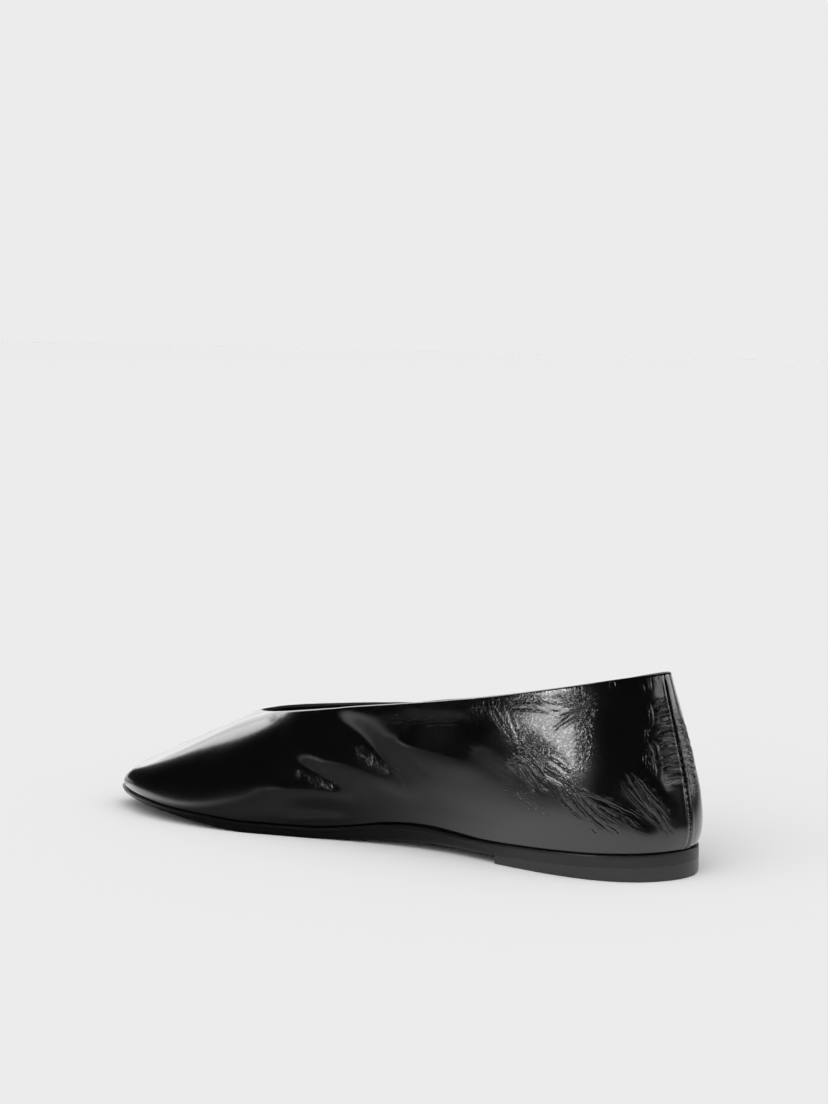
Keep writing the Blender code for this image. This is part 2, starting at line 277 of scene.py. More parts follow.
BACK_CREASES = (
    Fold(26, 0.56, 20.5, 0.41, 13, 0.24, -0.26, 0.5, 0.6),
    Fold(24, 0.57, 18, 0.43, 9, 0.23, -0.26, 0.5, 0.6),
    Fold(26, 0.51, 20.5, 0.385, 14, 0.28, -0.2, 0.45, 0.6),
    Fold(22, 0.54, 18, 0.46, 14, 0.37, -0.2, 0.45, 0.6),
    Fold(16, 0.31, 14, 0.25, 11, 0.15, -0.2, 0.45, 0.6),
    Fold(14, 0.33, 11.5, 0.25, 9, 0.14, -0.2, 0.45, 0.6),
    Fold(13, 0.87, 12, 0.8, 14, 0.74, -0.24, 0.5, 0.6),
    Fold(16, 0.7, 14, 0.62, 14, 0.51, -0.26, 0.5, 0.6),
    Fold(13, 0.69, 11, 0.63, 11, 0.54, -0.2, 0.45, 0.6),
    Fold(12, 0.84, 7, 0.848, 2, 0.845, -0.4, 0.6, 0.9),
    Fold(11, 0.79, 7, 0.797, 1, 0.785, -0.4, 0.6, 0.9),
    Fold(8, 0.755, 5, 0.76, 1, 0.75, -0.34, 0.6, 0.9),
    Fold(12, 0.715, 7, 0.73, 1, 0.715, -0.46, 0.6, 0.9),
    Fold(10, 0.69, 6, 0.688, 2, 0.675, -0.34, 0.6, 0.9),
    Fold(11, 0.65, 7, 0.665, 1, 0.65, -0.46, 0.6, 0.9),
    Fold(9, 0.63, 6, 0.635, 3, 0.625, -0.34, 0.6, 0.9),
    Fold(12, 0.6, 7, 0.615, 1, 0.6, -0.46, 0.6, 0.9),
    Fold(10, 0.575, 5, 0.585, 1, 0.57, -0.34, 0.6, 0.9),
    Fold(13, 0.555, 7, 0.56, 1, 0.535, -0.46, 0.6, 0.9),
    Fold(10, 0.49, 6, 0.495, 2, 0.48, -0.34, 0.6, 0.9),
    Fold(-1, 0.75, -5, 0.745, -9, 0.72, -0.75, 0.6, 0.9),
    Fold(-1, 0.72, -6, 0.715, -11, 0.69, -0.9, 0.6, 0.9),
    Fold(-1, 0.69, -5, 0.68, -9, 0.655, -0.75, 0.6, 0.9),
    Fold(-1, 0.66, -6, 0.65, -12, 0.62, -0.9, 0.6, 0.9),
    Fold(-1, 0.63, -5, 0.62, -9, 0.6, -0.75, 0.6, 0.9),
    Fold(-1, 0.6, -6, 0.595, -11, 0.57, -0.9, 0.6, 0.9),
    Fold(-1, 0.57, -5, 0.56, -8, 0.54, -0.75, 0.6, 0.9),
    Fold(-1, 0.54, -5, 0.53, -8, 0.51, -0.75, 0.6, 0.9),
)
OUTER_CREASES = (
    Fold(-30, 0.94, -42, 0.88, -54, 0.77, -0.22, 0.55, 0.5),
    Fold(-36, 0.9, -47, 0.83, -60, 0.78, -0.18, 0.55, 0.5),
    Fold(-70, 0.93, -60, 0.9, -48, 0.89, -0.18, 0.55, 0.5),
    Fold(-84, 0.99, -80, 0.88, -74, 0.78, -0.16, 0.55, 0.5),
    Fold(-58, 0.62, -52, 0.58, -45, 0.52, -0.24, 0.55, 0.6),
    Fold(-68, 0.57, -62, 0.51, -57, 0.44, -0.2, 0.55, 0.5),
    Fold(-49, 0.47, -40, 0.35, -30, 0.21, -0.28, 0.55, 0.6),
    Fold(-43, 0.45, -34, 0.38, -24, 0.3, -0.24, 0.55, 0.6),
    Fold(-39, 0.4, -30, 0.33, -21, 0.27, -0.22, 0.55, 0.6),
    Fold(-25, 0.56, -19, 0.42, -11, 0.23, -0.26, 0.5, 0.6),
    Fold(-22, 0.54, -16, 0.42, -12, 0.33, -0.2, 0.5, 0.6),
    Fold(-14, 0.84, -13, 0.74, -14, 0.66, -0.24, 0.5, 0.6),
)
CREASES = QUARTER_CREASES + BACK_CREASES + OUTER_CREASES
FOLDS = SOFT_FOLDS + CREASES

# How a crease is shared between the mesh and the bump. In the mesh it has part of its
# depth and more width. In the bump it is a thin wavering line, and CREASE_FAR is how
# many widths it reaches.
CREASE_IN_MESH = 0.40
CREASE_SPREAD = 1.3
CREASE_FAR = 4.0
CREASE_GROUPS = 4
CREASE_WOBBLE = 2.2
CREASE_WOBBLE_SCALE = 0.4

# Rows of short hairline creases. A row follows a line on the wall. run and rise are one
# stroke's length along the outline, in millimetres, and its share of the wall, and spread
# is how far strokes stray from the line, in millimetres.
Hatch = namedtuple("Hatch", "along_0 up_0 along_1 up_1 count run rise spread height width")
HATCHES = (
    Hatch(170, 0.5, 153, 0.37, 12, -3.6, -0.09, 2.0, -0.06, 0.3),
    Hatch(141, 0.68, 119, 0.37, 16, -3.6, -0.1, 1.3, -0.06, 0.3),
    Hatch(206, 0.93, 189, 0.91, 9, -1.5, -0.09, 2.0, -0.2, 0.35),
    Hatch(127, 0.9, 98, 0.865, 16, -5.0, 0.005, 1.6, -0.06, 0.35),
    Hatch(87, 0.95, 69, 0.945, 10, 0.6, -0.1, 0.8, -0.08, 0.38),
    Hatch(71, 0.975, 43, 0.965, 22, 0.2, -0.045, 0.6, -0.06, 0.32),
    Hatch(73, 0.6, 58, 0.46, 14, -3.2, -0.06, 2.0, -0.1, 0.36),
    Hatch(74, 0.44, 58, 0.31, 12, -5.0, -0.045, 3.0, -0.05, 0.36),
    Hatch(47, 0.46, 24, 0.27, 16, -3.5, -0.08, 2.5, -0.12, 0.34),
    Hatch(24, 0.54, 11, 0.2, 14, -2.6, -0.09, 2.0, -0.12, 0.34),
    Hatch(9, 0.87, 10, 0.5, 14, -7.0, 0.004, 1.6, -0.16, 0.34),
    Hatch(-3, 0.8, -2, 0.46, 14, -6.0, -0.02, 1.2, -0.26, 0.34),
    Hatch(15, 0.74, 15, 0.56, 8, 1.0, -0.06, 1.2, -0.14, 0.36),
    Hatch(-74, 0.96, -44, 0.96, 16, -0.2, -0.05, 0.8, -0.07, 0.36),
    Hatch(-72, 0.6, -58, 0.46, 12, 3.2, -0.06, 2.5, -0.12, 0.36),
    Hatch(-48, 0.46, -22, 0.26, 16, 3.5, -0.08, 2.8, -0.12, 0.36),
)

# Chance in the strokes: the ranges of a stroke's place in its step, of its half length
# and of its depth, as shares, and how far it turns and bends. WALL_HEIGHT turns shares of
# the wall into millimetres.
HATCH_SEED = 7
STROKE_STEP = (0.1, 0.9)
STROKE_HALF = (0.25, 0.65)
STROKE_DEPTH = (0.5, 1.2)
STROKE_TURN = 0.18
STROKE_BEND = 0.15
WALL_HEIGHT = 66.0

# How a fold is drawn: the points on its line, its reach and the place of its lips in
# widths, and the share of its line over which each end fades to the share left there
PATH_POINTS = 13
FOLD_REACH = 4.0
LIP_PLACE = 2.0
TAPER = 0.3
END_SHARE = 0.2

# Patches of fine crinkle, each along a line on the wall. kind says which way its fine
# creases run, width is how far the patch fades to its sides, and strength is the share of
# its texture that shows.
Patch = namedtuple("Patch", "kind along_0 up_0 along_1 up_1 width strength")
PATCHES = (
    Patch("gather", 90, 0.93, 72, 0.93, 5.0, 0.5),
    Patch("net", 67, 0.86, 48, 0.85, 9.0, 1.0),
    Patch("net", 60, 0.72, 46, 0.7, 8.0, 1.0),
    Patch("slant", 72, 0.58, 45, 0.54, 5.0, 0.3),
    Patch("slant", 50, 0.44, 24, 0.26, 6.0, 0.25),
    Patch("slant", 74, 0.48, 58, 0.34, 6.0, 0.25),
    Patch("slant", 25, 0.55, 11, 0.2, 5.0, 0.25),
    Patch("slant", 143, 0.69, 121, 0.38, 2.5, 0.12),
    Patch("level", 10, 0.88, 10, 0.5, 4.0, 0.2),
    Patch("level", -5, 0.8, -4, 0.46, 5.0, 0.8),
    Patch("net", -74, 0.86, -40, 0.84, 11.0, 1.0),
    Patch("slant", -70, 0.6, -24, 0.28, 7.0, 0.3),
    Patch("gather", -88, 0.95, -70, 0.95, 4.5, 0.4),
)

# The thin line at the bottom of a crease: height by distance, as shares of CREASE_FAR
# and of the crease's depth. HAIRLINE_REST is the height of the smooth wall beside it.
Rung = namedtuple("Rung", "distance height")
HAIRLINE_PROFILE = (
    Rung(0.00, 0.00),
    Rung(0.07, 0.14),
    Rung(0.16, 0.56),
    Rung(0.25, 0.84),
    Rung(0.38, 0.74),
    Rung(0.60, 0.62),
    Rung(1.00, 0.60),
)
HAIRLINE_REST = 0.60

# Lights: where each stands and what it looks at, in metres, its turn in degrees, how far
# it slides along its own width, its sides and its radiance
Lamp = namedtuple("Lamp", "name place target roll slide width height radiance")
QUARTER_BOX = (-0.20, -0.030, 0.083)
QUARTER_AIM = (0.0, -0.030, 0.083)
VAMP_PANEL = (0.61, 1.30, 1.05)
VAMP_AIM = (0.0, 0.09, 0.03)
VAMP_ROLL = 41.0
LAMPS = (
    Lamp("quarter_softbox", QUARTER_BOX, QUARTER_AIM, -14.0, 0.0, 0.053, 0.038, 15.0),
    Lamp("back_softbox", (0.55, -1.30, 0.45), (0.0, -0.12, 0.05), 0.0, 0.0, 0.95, 0.26, 1.6),
    Lamp("outer_softbox", (1.15, -0.85, 0.28), (0.02, -0.11, 0.05), 0.0, 0.0, 1.10, 0.50, 1.6),
    Lamp("toe_card", (-0.050, 0.170, 0.001), (-0.050, 0.170, 1.0), 0.0, 0.0, 0.09, 0.09, 0.65),
    Lamp("vamp_panel", VAMP_PANEL, VAMP_AIM, VAMP_ROLL, 0.775, 1.05, 1.30, 3.9),
    Lamp("vamp_panel_middle", VAMP_PANEL, VAMP_AIM, VAMP_ROLL, -0.20, 0.90, 1.30, 2.6),
    Lamp("vamp_panel_far", VAMP_PANEL, VAMP_AIM, VAMP_ROLL, -0.975, 0.65, 1.30, 1.5),
    Lamp("vamp_panel_end", VAMP_PANEL, VAMP_AIM, VAMP_ROLL, -1.70, 0.80, 1.30, 0.95),
)

# The sky: where its light comes from and how bright it is there and elsewhere, and how
# bright it looks to the camera and in the gloss
SKY_FROM = (-0.621, -0.421, 0.661)
SKY_PEAK = 2.40
SKY_EVEN = 0.1
SKY_SEEN = 0.839
SKY_IN_GLOSS = 0.01
FLOOR_COLOUR = (0.80, 0.80, 0.80, 1.0)
FLOOR_SIZE = 9.0
WHITE = (1.0, 1.0, 1.0, 1.0)
BLACK = (0.0, 0.0, 0.0, 1.0)

# Painted shade on the floor in the gloss: how bright the floor stays there, its share at
# places along +Y, in metres, and the distances from the shoe's middle between which it fades out
GlossShadeStop = namedtuple("GlossShadeStop", "y share")
FLOOR_GLOSS_SHADE = (
    GlossShadeStop(-0.06, 1.0),
    GlossShadeStop(0.03, 0.22),
    GlossShadeStop(0.09, 0.16),
    GlossShadeStop(0.13, 1.0),
)
GLOSS_SHADE_LOW = -0.20
GLOSS_SHADE_HIGH = 0.20
FADE_FROM = 0.10
FADE_TO = 0.40
NEW_STOP = 0.5

# Where along +X the floor's painted shade in the gloss deepens under the shoe, and by what share
NEAR_FROM = -0.055
NEAR_TO = -0.035
NEAR_LOSS = 0.7

# The spans along +X and +Y over which the floor comes to its full brightness in the gloss,
# free of painted shade, beside the outer side
OUTER_FROM = 0.02
OUTER_TO = 0.10
OUTER_BACK = -0.12
OUTER_FRONT = -0.02

# Fine textures of the patent, each under the mask of its kind: the turn of its creases in
# degrees, and their length, width and height in millimetres
Texture = namedtuple("Texture", "kind turn stretch size amount")
CRINKLES = (
    Texture("slant", 48.0, 4.5, 0.9, 0.22),
    Texture("gather", 84.0, 6.0, 1.0, 0.14),
    Texture("level", 4.0, 5.0, 0.9, 0.18),
)
NET = Texture("net", 55.0, 1.5, 1.0, 0.16)
PATCH_KINDS = tuple(texture.kind for texture in CRINKLES + (NET,))
CRINKLE_DETAIL = 2.0
CRINKLE_ROUGHNESS = 0.55
CRINKLE_DISTORTION = 0.4
CRINKLE_PUFF = 0.6
NET_STRAY = 3.0
NET_STRAY_SCALE = 0.35
NET_PUFF = 0.65
NET_ROUGHNESS = 0.05

# Patent
PATENT_COLOUR = (0.0025, 0.0024, 0.0027, 1.0)
PATENT_SPECULAR = 0.95
PATENT_COAT = 0.5
PATENT_COAT_ROUGHNESS = 0.12
PATENT_GRAIN_SCALE = 1.6
PATENT_GRAIN = 0.006
PATENT_PATCH_SCALE = 0.08
PATENT_SMOOTHEST = 0.17
PATENT_ROUGHEST = 0.23

# Plain leather and rubber. The last column of rubber is the share of its colour that it keeps
# ahead of the heel, as painted shade, and spread is how far roughness strays to both sides.
Leather = namedtuple("Leather", "name colour roughness specular grain_scale grain_depth")
LINING = Leather("lining_black", (0.012, 0.012, 0.012), 0.5, 0.35, 900.0, 0.00006)
SOCK = Leather("sock_black", (0.018, 0.017, 0.016), 0.6, 0.35, 700.0, 0.00008)
Rubber = namedtuple("Rubber", "name colour roughness specular front")
SOLE_RUBBER = Rubber("sole_rubber", (0.016, 0.016, 0.0165), 0.34, 0.4, 0.16)
HEEL_RUBBER = Rubber("heel_rubber", (0.012, 0.012, 0.0125), 0.26, 0.65, 1.0)
Finish = namedtuple("Finish", "darkest brightest mottle_scale mottle_detail patch_scale spread")
LEATHER_FINISH = Finish(0.8, 1.3, 60.0, 4.0, 90.0, 0.08)
RUBBER_FINISH = Finish(0.8, 1.25, 45.0, 5.0, 120.0, 0.06)
SPECKLE_SCALE = 1800.0
SPECKLE_DEPTH = 0.00003

# Detail of fine and soft noise, and the part of its range that soft patches use
FINE_DETAIL = 2.0
SOFT_DETAIL = 3.0
NOISE_LOW = 0.3
NOISE_HIGH = 0.7


def closed_spline(knots, values, loop, at):
    """Values at the places 'at' on the smooth closed curve through values at knots."""
    count = len(knots)
    steps = np.diff(np.append(knots, knots[0] + loop))
    slopes = (np.roll(values, -1, axis=0) - values) / steps[:, None]
    matrix = np.zeros((count, count))
    for i in range(count):
        matrix[i, i - 1] += steps[i]
        matrix[i, i] += 2 * (steps[i - 1] + steps[i])
        matrix[i, (i + 1) % count] += steps[i - 1]
    wanted = 3 * (steps[:, None] * np.roll(slopes, 1, axis=0) + np.roll(steps, 1)[:, None] * slopes)
    tangents = np.linalg.solve(matrix, wanted)
    at = np.mod(at - knots[0], loop) + knots[0]
    left = np.clip(np.searchsorted(knots, at, side="right") - 1, 0, count - 1)
    right = (left + 1) % count
    step = steps[left]
    share = ((at - knots[left]) / step)[:, None]
    step = step[:, None]
    return (
        (2 * share**3 - 3 * share**2 + 1) * values[left]
        + (share**3 - 2 * share**2 + share) * step * tangents[left]
        + (3 * share**2 - 2 * share**3) * values[right]
        + (share**3 - share**2) * step * tangents[right]
    )


def section_places():
    """The place of each section along the outline, and the outline's whole length."""
    edge = np.array([(row.edge_x, row.edge_y) for row in SECTIONS])
    steps = np.linalg.norm(np.roll(edge, -1, axis=0) - edge, axis=1)
    return np.concatenate([[0.0], np.cumsum(steps)[:-1]]), steps.sum()


def sections_at(places):
    """The section table read at any places along the outline, as a Section of columns."""
    knots, loop = section_places()
    columns = closed_spline(knots, np.array(SECTIONS), loop, places)
    return Section(*columns.T)


def back_place():
    """The place of the centre back along the outline."""
    return section_places()[0][BACK_SECTION]


def smooth(share):
    """A share eased at both ends and held between 0 and 1."""
    share = np.clip(share, 0.0, 1.0)
    return share * share * (3 - 2 * share)


def arch_share(x, y):
    """How much of the arch's lift there is, from none to all at the inner waist."""
    near = np.clip((y - ARCH_Y) / ARCH_HALF_LENGTH, -1.0, 1.0)
    return np.cos(near * np.pi / 2) ** 2 * smooth((ARCH_FROM_X - x) / ARCH_WIDTH)


def sole_bottom(x, y):
    """Height of the outsole's underside."""
    seat = HEEL_SEAT - HEEL_PITCH * y
    breast = HEEL_SEAT - HEEL_PITCH * BREAST_Y
    share = np.clip((y - BREAST_Y) / (BALL_BACK - BREAST_Y), 0.0, 1.0)
    fall = breast * (2 * share**3 - 3 * share**2 + 1)
    lead = HEEL_PITCH * (BALL_BACK - BREAST_Y) * (share**3 - 2 * share**2 + share)
    waist = np.where(y < BREAST_Y, seat, fall - lead)
    ahead = np.clip((y - BALL_FRONT) / (LENGTH - BALL_FRONT), 0.0, 1.0)
    spring = TOE_SPRING * np.sin(ahead * np.pi / 2) ** TOE_SPRING_POWER
    return waist + spring + ARCH_UNDER_RISE * arch_share(x, y)


def sole_top(x, y):
    """Height of the outsole's upper face."""
    thin = smooth((y - TOE_THIN_FROM) / (TOE_THIN_TO - TOE_THIN_FROM))
    waist = (ARCH_RISE - ARCH_UNDER_RISE) * arch_share(x, y)
    return sole_bottom(x, y) + SOLE - (SOLE - TOE_SOLE) * thin + waist


def outward(places, x_name, y_name):
    """Unit vectors in plan that point out of the shoe at places on one of its two loops."""
    before = sections_at(places - NUDGE)
    after = sections_at(places + NUDGE)
    along_x = getattr(after, x_name) - getattr(before, x_name)
    along_y = getattr(after, y_name) - getattr(before, y_name)
    size = np.hypot(along_x, along_y)
    return along_y / size, -along_x / size


def wall_points(places, share):
    """Points of the plain wall at places round the outline and shares of its height."""
    line = sections_at(places)
    edge_out_x, edge_out_y = outward(places, "edge_x", "edge_y")
    top_out_x, top_out_y = outward(places, "top_x", "top_y")
    foot_x = line.edge_x - TUCK * edge_out_x
    foot_y = line.edge_y - TUCK * edge_out_y
    foot_z = sole_top(foot_x, foot_y) + FOOT_GAP
    foot = np.stack([foot_x, foot_y, foot_z], axis=1)
    lift = np.stack([line.flare * edge_out_x, line.flare * edge_out_y, line.rise], axis=1)
    top = np.stack([line.top_x, line.top_y, line.top_z], axis=1)
    fall = np.stack([line.run * top_out_x, line.run * top_out_y, -line.drop], axis=1)
    rest = 1 - share
    low = rest**3 * foot + 3 * rest**2 * share * (foot + lift)
    return low + 3 * rest * share**2 * (top + fall) + share**3 * top


def column_places():
    """Places of the upper's columns, closest where the leather is creased."""
    back = back_place()
    loop = section_places()[1]
    start = 0.0
    spans = []
    for span in COLUMN_SPANS + (Span(loop - back, LAST_SPAN_STEP),):
        end = back + span.until
        count = round((end - start) / span.step)
        spans.append(np.linspace(start, end, count, endpoint=False))
        start = end
    return np.concatenate(spans)


def unit(vectors):
    """Vectors scaled to length one."""
    return vectors / np.linalg.norm(vectors, axis=-1, keepdims=True)


def wall_normals(points):
    """Outward normals of a grid of wall points whose columns go once round the shoe."""
    round_shoe = np.roll(points, -1, axis=1) - np.roll(points, 1, axis=1)
    up_wall = np.gradient(points, axis=0)
    return unit(np.cross(round_shoe, up_wall))


def wall_path(along, up):
    """Points on the wall along the smooth line through three (along, up) places."""
    share = np.linspace(0.0, 1.0, PATH_POINTS)
    weights = np.stack(
        [(1 - share) * (1 - 2 * share), 4 * share * (1 - share), share * (2 * share - 1)], axis=1
    )
    path_along = weights @ np.array(along, dtype=float)
    path_up = np.clip(weights @ np.array(up, dtype=float), 0.0, 1.0)
    return wall_points(back_place() - path_along, path_up[:, None])


def fold_path(fold):
    """Points along the line of a fold or crease."""
    along = (fold.along_0, fold.along_1, fold.along_2)
    return wall_path(along, (fold.up_0, fold.up_1, fold.up_2))


def path_distance(points, path):
    """Each point's distance from a path, its share of the path and its nearest step."""
    starts = path[:-1]
    steps = path[1:] - starts
    lengths = (steps**2).sum(axis=1)
    offsets = points[:, None, :] - starts[None]
    shares = np.clip((offsets * steps[None]).sum(axis=2) / lengths, 0.0, 1.0)
    gaps = np.linalg.norm(offsets - shares[..., None] * steps[None], axis=2)
    nearest = gaps.argmin(axis=1)
    rows = np.arange(len(points))
    return gaps[rows, nearest], (nearest + shares[rows, nearest]) / len(steps), nearest


def near_path(points, path, reach):
    """Which points lie in the path's box, widened by reach."""
    low = path.min(axis=0) - reach
    high = path.max(axis=0) + reach
    return np.flatnonzero(((points > low) & (points < high)).all(axis=1))


def taper(share):
    """Fades a fold out at both ends of its path."""
    return smooth(share / TAPER) * smooth((1 - share) / TAPER)


def fold_heights(points):
    """How far the folds and creases lift each wall point."""
    flat = points.reshape(-1, 3)
    heights = np.zeros(len(flat))
    for fold in FOLDS:
        path = fold_path(fold)
        is_crease = fold in CREASES
        width = fold.width * (CREASE_SPREAD if is_crease else 1.0)
        inside = near_path(flat, path, FOLD_REACH * width)
        gap, share, _ = path_distance(flat[inside], path)
        gap = gap / width
        shape = np.exp(-(gap**2)) - fold.lip * np.exp(-((gap - LIP_PLACE) ** 2))
        size = CREASE_IN_MESH if is_crease else 1.0
        ends = END_SHARE + (1 - END_SHARE) * taper(share)
        heights[inside] += size * fold.height * shape * ends
    return heights.reshape(points.shape[:2])


def hatch_strokes():
    """The short hairline creases of every hatched row."""
    chance = np.random.default_rng(HATCH_SEED)
    strokes = []
    for hatch in HATCHES:
        for index in range(hatch.count):
            step = (index + chance.uniform(*STROKE_STEP)) / hatch.count
            along = hatch.along_0 + step * (hatch.along_1 - hatch.along_0)
            along += chance.normal() * hatch.spread
            up = hatch.up_0 + step * (hatch.up_1 - hatch.up_0)
            half = chance.uniform(*STROKE_HALF)
            turn = chance.normal() * STROKE_TURN
            run = half * (hatch.run + turn * hatch.rise * WALL_HEIGHT)
            rise = half * (hatch.rise - turn * hatch.run / WALL_HEIGHT)
            bend = chance.normal() * STROKE_BEND * half
            strokes.append(
                Fold(
                    along - run,
                    up - rise,
                    along + bend * hatch.rise * WALL_HEIGHT,
                    up - bend * hatch.run / WALL_HEIGHT,
                    along + run,
                    up + rise,
                    hatch.height * chance.uniform(*STROKE_DEPTH),
                    hatch.width,
                )
            )
    return tuple(strokes)


def crease_field(points, normals, creases):
    """Each wall point's signed distance from the nearest crease in widths, and its depth."""
    flat = points.reshape(-1, 3)
    flat_normals = normals.reshape(-1, 3)
    signed = np.full(len(flat), CREASE_FAR)
    depth = np.zeros(len(flat))
    for crease in creases:
        path = fold_path(crease)
        inside = near_path(flat, path, CREASE_FAR * crease.width)
        gap, share, nearest = path_distance(flat[inside], path)
        gap = gap / crease.width
        steps = np.diff(path, axis=0)[nearest]
        across = np.cross(flat_normals[inside], steps)
        side = np.sign(((flat[inside] - path[nearest]) * across).sum(axis=1))
        closer = gap < np.abs(signed[inside])
        chosen = inside[closer]
        signed[chosen] = (side * gap)[closer]
        fade = smooth(CREASE_FAR - gap)
        depth[chosen] = (-crease.height * taper(share) * fade)[closer]
    return signed, depth


def patch_masks(points):
    """How strongly each kind of fine crinkle shows at each wall point."""
    flat = points.reshape(-1, 3)
    masks = {kind: np.zeros(len(flat)) for kind in PATCH_KINDS}
    for patch in PATCHES:
        middle_along = (patch.along_0 + patch.along_1) / 2
        middle_up = (patch.up_0 + patch.up_1) / 2
        along = (patch.along_0, middle_along, patch.along_1)
        path = wall_path(along, (patch.up_0, middle_up, patch.up_1))
        inside = near_path(flat, path, FOLD_REACH * patch.width)
        gap, _, _ = path_distance(flat[inside], path)
        mask = patch.strength * np.exp(-((gap / patch.width) ** 2))
        masks[patch.kind][inside] = np.maximum(masks[patch.kind][inside], mask)
    return masks


def seam_heights(places, share):
    """The back seam's stitched groove with its raised lips, deeper in its upper part."""
    offset = places[None, :] - back_place() + SEAM_TO_INNER
    groove = np.exp(-((offset / SEAM_WIDTH) ** 2))
    lips = np.exp(-(((np.abs(offset) - SEAM_LIP_PLACE) / SEAM_LIP_WIDTH) ** 2))
    full = smooth((share - SEAM_FULL_FROM) / SEAM_FULL_OVER)
    depth = SEAM_LOW_SHARE + (1 - SEAM_LOW_SHARE) * full
    stitch = 1 - STITCH_SHARE * np.cos(2 * np.pi * share * SEAM_LENGTH / STITCH_PITCH)
    fade = 1 - SEAM_FADE * smooth((share - SEAM_FADE_FROM) / (1 - SEAM_FADE_FROM))
    return fade * depth * (SEAM_LIP * lips - SEAM_DEPTH * groove * stitch)


def make_mesh(name, rows, closed=True):
    """A smooth object from rows of points that go round the shoe, welded if it is closed."""
    row_count, column_count = rows.shape[:2]
    index = np.arange(row_count * column_count).reshape(row_count, column_count)
    following = np.roll(index, -1, axis=1)
    faces = np.stack([index[:-1], following[:-1], following[1:], index[1:]], axis=2).reshape(-1, 4)
    mesh = bpy.data.meshes.new(name)
    mesh.from_pydata(((rows.reshape(-1, 3) + SHIFT) * MM).tolist(), [], faces.tolist())
    if closed:
        shape = bmesh.new()
        shape.from_mesh(mesh)
        bmesh.ops.remove_doubles(shape, verts=shape.verts, dist=WELD)
        bmesh.ops.recalc_face_normals(shape, faces=shape.faces)
        shape.to_mesh(mesh)
        shape.free()
    mesh.shade_smooth()
    if closed:
        mesh.set_sharp_from_angle(angle=math.radians(SHARP_ANGLE))
    made = bpy.data.objects.new(name, mesh)
    bpy.context.scene.collection.objects.link(made)
    return made


def add_values(made, name, values, kind="FLOAT", field="value"):
    """Named values on the vertices of an object, numbers unless another kind is given."""
    layer = made.data.attributes.new(name, kind, "POINT")
    layer.data.foreach_set(field, np.ascontiguousarray(values, dtype=np.float32).ravel())


def make_upper():
    """The upper's outer skin with its rolled topline, and the lining inside it."""
    places = column_places()
    line = sections_at(places)
    radius = WALL / 2
    top_share = 1 - radius / (3 * np.hypot(line.run, line.drop))
    share = np.linspace(0.0, 1.0, WALL_ROWS + 1)[:, None] * top_share[None, :]
    plain = wall_points(places, share[..., None])
    normals = wall_normals(plain)
    heights = fold_heights(plain) + seam_heights(places, share)
    skin = plain + heights[..., None] * normals
    up_wall = unit(skin[-1] - skin[-2])
    inner_top = skin[-1] - radius * normals[-1]
    turns = np.linspace(0.0, np.pi, ROLL_ROWS + 1)[:, None, None]
    roll = inner_top + radius * (np.cos(turns) * normals[-1] + np.sin(turns) * up_wall)
    rows = np.concatenate([skin, roll[1 : GLOSS_ROWS + 1]])
    upper = make_mesh("upper_skin", rows, closed=False)
    bare = np.zeros(GLOSS_ROWS * len(places))
    for kind, mask in patch_masks(plain).items():
        add_values(upper, kind, np.concatenate([mask, bare]))
    creases = CREASES + hatch_strokes()
    for group in range(CREASE_GROUPS):
        signed, depth = crease_field(plain, normals, creases[group::CREASE_GROUPS])
        add_values(upper, "crease_%d" % group, np.concatenate([signed, bare + CREASE_FAR]))
        add_values(upper, "crease_depth_%d" % group, np.concatenate([depth, bare]))
    climb = np.linalg.norm(np.diff(rows, axis=0), axis=2)
    height = np.concatenate([np.zeros((1, len(places))), np.cumsum(climb, axis=0)])
    along = np.broadcast_to(back_place() - places, height.shape)
    wall = np.stack([along, height, np.zeros_like(height)], axis=2)
    add_values(upper, "wall", wall, "FLOAT_VECTOR", "vector")

    inside = skin - WALL * normals
    lining_rows = np.concatenate([roll[GLOSS_ROWS:-1], inside[-1:], inside[:-1:LINING_STEP][::-1]])
    lining = make_mesh("upper_lining", lining_rows, closed=False)
    return upper, lining


def slab_rows(profile, margin, low, high):
    """A closed slab on the outline: rows of points that follow the profile round its edge."""
    back = back_place()
    loop = section_places()[1]
    inner = np.linspace(0.0, back, SIDE_COLUMNS, endpoint=False)
    outer = np.linspace(back, loop, SIDE_COLUMNS, endpoint=False)
    places = np.concatenate([inner, outer])
    line = sections_at(places)
    out_x, out_y = outward(places, "edge_x", "edge_y")
    pair = (-np.arange(2 * SIDE_COLUMNS)) % (2 * SIDE_COLUMNS)
    along = np.minimum(np.arange(2 * SIDE_COLUMNS), pair) / SIDE_COLUMNS
    spine_y = SPINE_FRONT + (SPINE_BACK - SPINE_FRONT) * along
    spine_x = (line.edge_x + line.edge_x[pair]) / 2
    ahead = smooth((line.edge_y - BREAST_Y) / ROLL_LENGTH)
    rows = []
    for rim in profile:
        inset = margin + rim.inset + rim.roll * ahead
        x = line.edge_x - inset * out_x
        y = line.edge_y - inset * out_y
        x = x + rim.spine * (spine_x - x)
        y = y + rim.spine * (spine_y - y)
        bottom = low(x, y)
        rows.append(np.stack([x, y, bottom + rim.height * (high(x, y) - bottom)], axis=1))
    return np.array(rows)


def cut_breast(heel):
    """Cuts the heel blank off at its straight breast and closes the cut."""
    shape = bmesh.new()
    shape.from_mesh(heel.data)
    cut = bmesh.ops.bisect_plane(
        shape,
        geom=shape.verts[:] + shape.edges[:] + shape.faces[:],
        plane_co=(0.0, (BREAST_Y + SHIFT[1]) * MM, 0.0),
        plane_no=(0.0, 1.0, 0.0),
        clear_outer=True,
    )
    edges = [item for item in cut["geom_cut"] if isinstance(item, bmesh.types.BMEdge)]
    filled = bmesh.ops.edgeloop_fill(shape, edges=edges)
    for face in filled["faces"]:
        face.smooth = False
    bmesh.ops.recalc_face_normals(shape, faces=shape.faces)
    shape.to_mesh(heel.data)
    shape.free()


